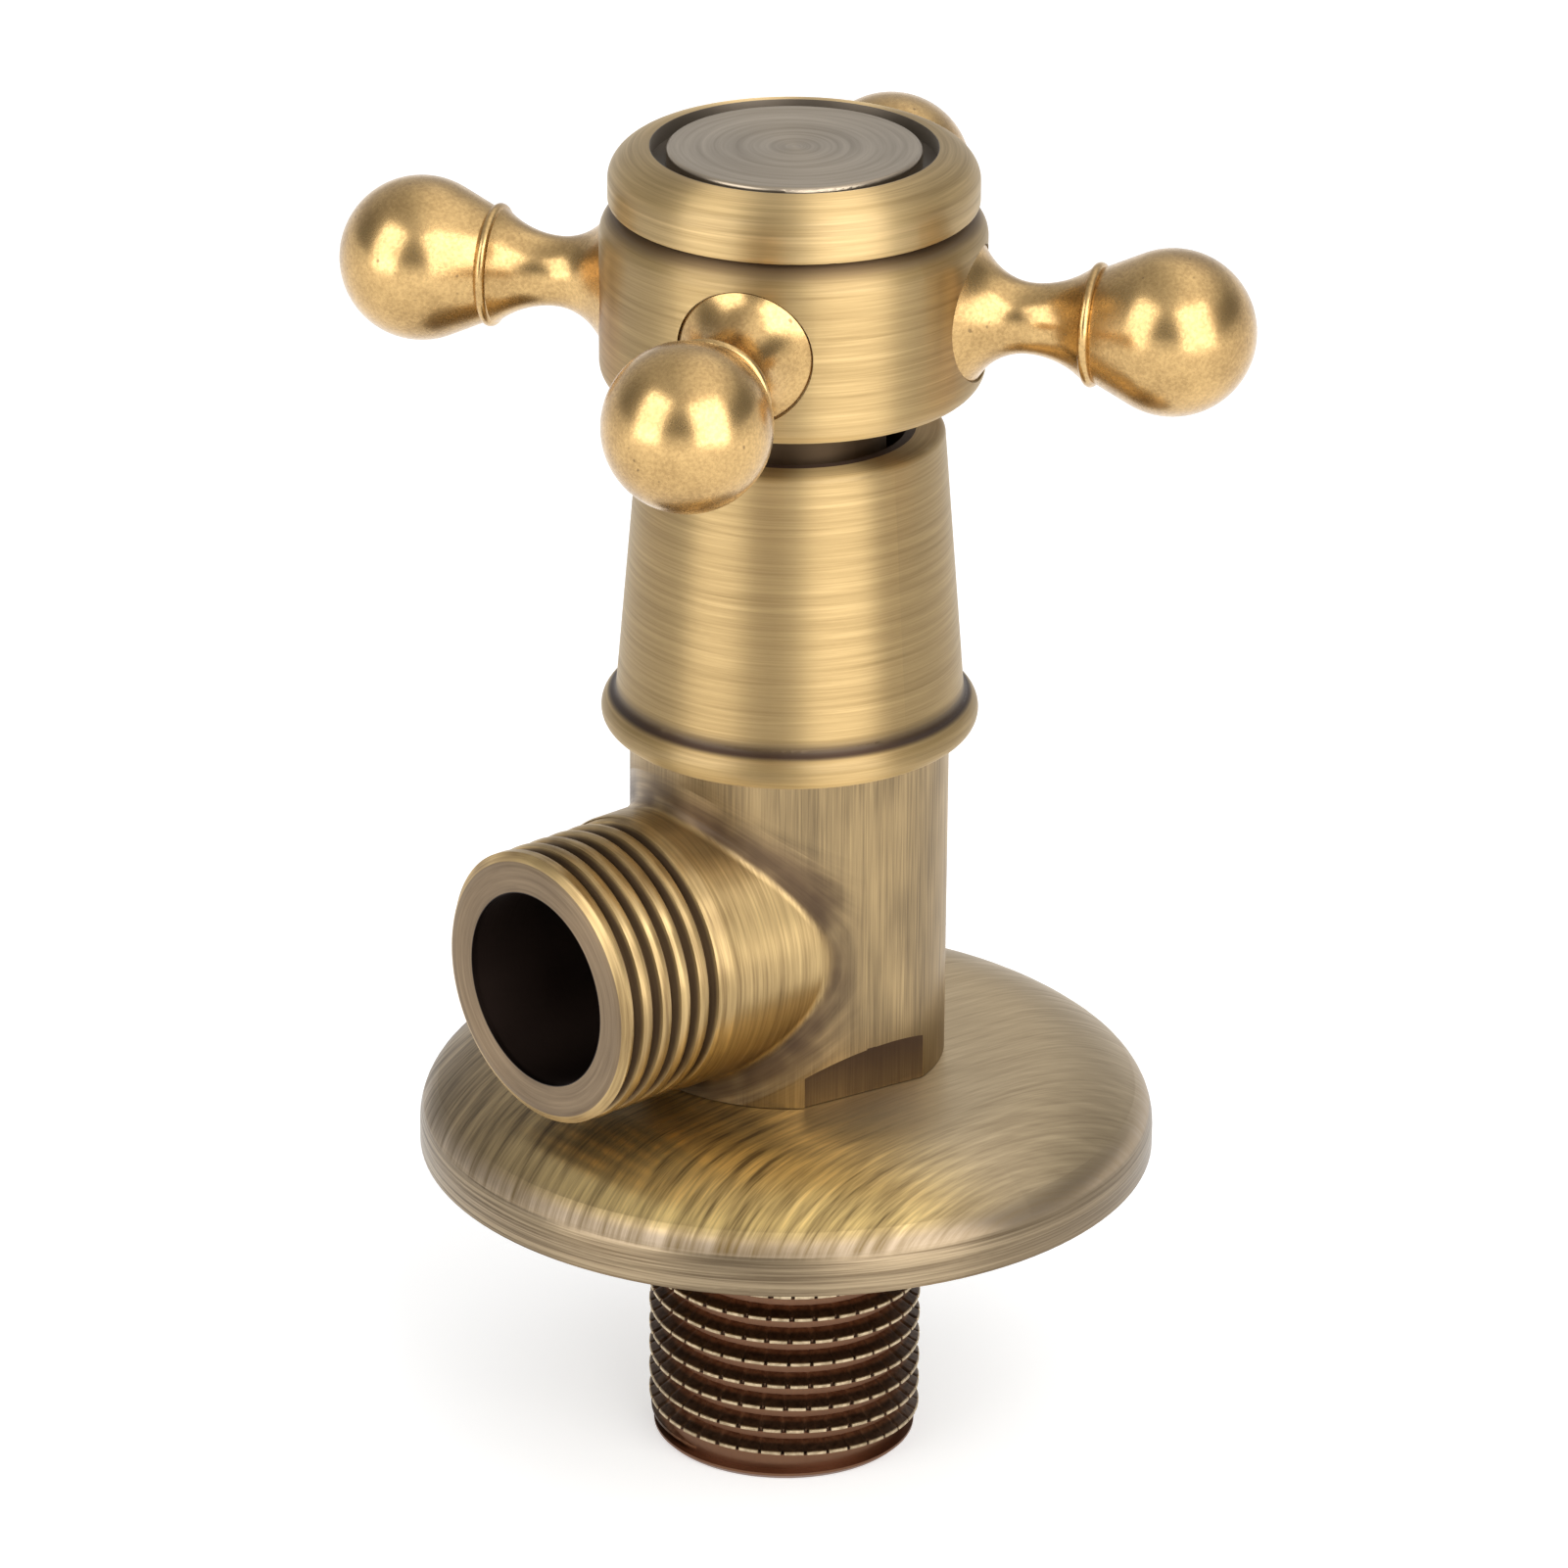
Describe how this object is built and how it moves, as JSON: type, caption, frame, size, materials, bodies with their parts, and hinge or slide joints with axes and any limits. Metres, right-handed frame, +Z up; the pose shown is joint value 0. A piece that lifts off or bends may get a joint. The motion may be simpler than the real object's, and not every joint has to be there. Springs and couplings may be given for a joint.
{
  "type": "angle valve",
  "caption": "Wall-mounted angle valve: threaded supply tail with a round wall flange, threaded side outlet, tapered bonnet and a cross handle with ball ends.",
  "frame": {"origin": "centre of the supply tail's end face, which is also the bottom centre of the whole valve's box", "axes": "+Z up the handle's axis from the supply tail, -Y out of the side outlet, +X to the right of it"},
  "size_m": [0.06, 0.06, 0.1046],
  "materials": {
    "brushed_brass": "satin brushed antique brass, dark in the creases",
    "cast_brass": "fine grained golden brass of the spokes",
    "dark_brass": "dark brown patina",
    "plain_brass": "bright machined brass",
    "rubber": "black seal rubber",
    "ceramic": "lapped white ceramic",
    "steel": "plain stainless steel"
  },
  "bodies": {
    "valve": {"valve_body": "brushed_brass", "bonnet_sleeve": "brushed_brass", "cartridge_body": "plain_brass", "cartridge_o_ring": "rubber", "seat_seal": "rubber", "lower_disc": "ceramic"},
    "flange": {"wall_flange": "brushed_brass"},
    "handle": {"handle_hub": "brushed_brass", "handle_cap": "brushed_brass", "index_disc": "dark_brass", "spoke_right": "cast_brass", "spoke_back": "cast_brass", "spoke_left": "cast_brass", "spoke_front": "cast_brass", "handle_screw": "steel", "screw_washer": "steel", "spindle": "plain_brass", "spindle_o_ring_lower": "rubber", "spindle_o_ring_upper": "rubber", "thrust_washer": "steel", "retaining_clip": "steel", "upper_disc": "ceramic"}
  },
  "joints": [
    {"name": "handle_turn", "type": "hinge", "parent": "valve", "child": "handle", "pos_m": [0, 0, 0.093], "axis": [0, 0, 1], "range_deg": [0, 90]},
    {"name": "flange_slide", "type": "slide", "parent": "valve", "child": "flange", "axis": [0, 0, -1], "range_m": [0, 0.018]}
  ]
}
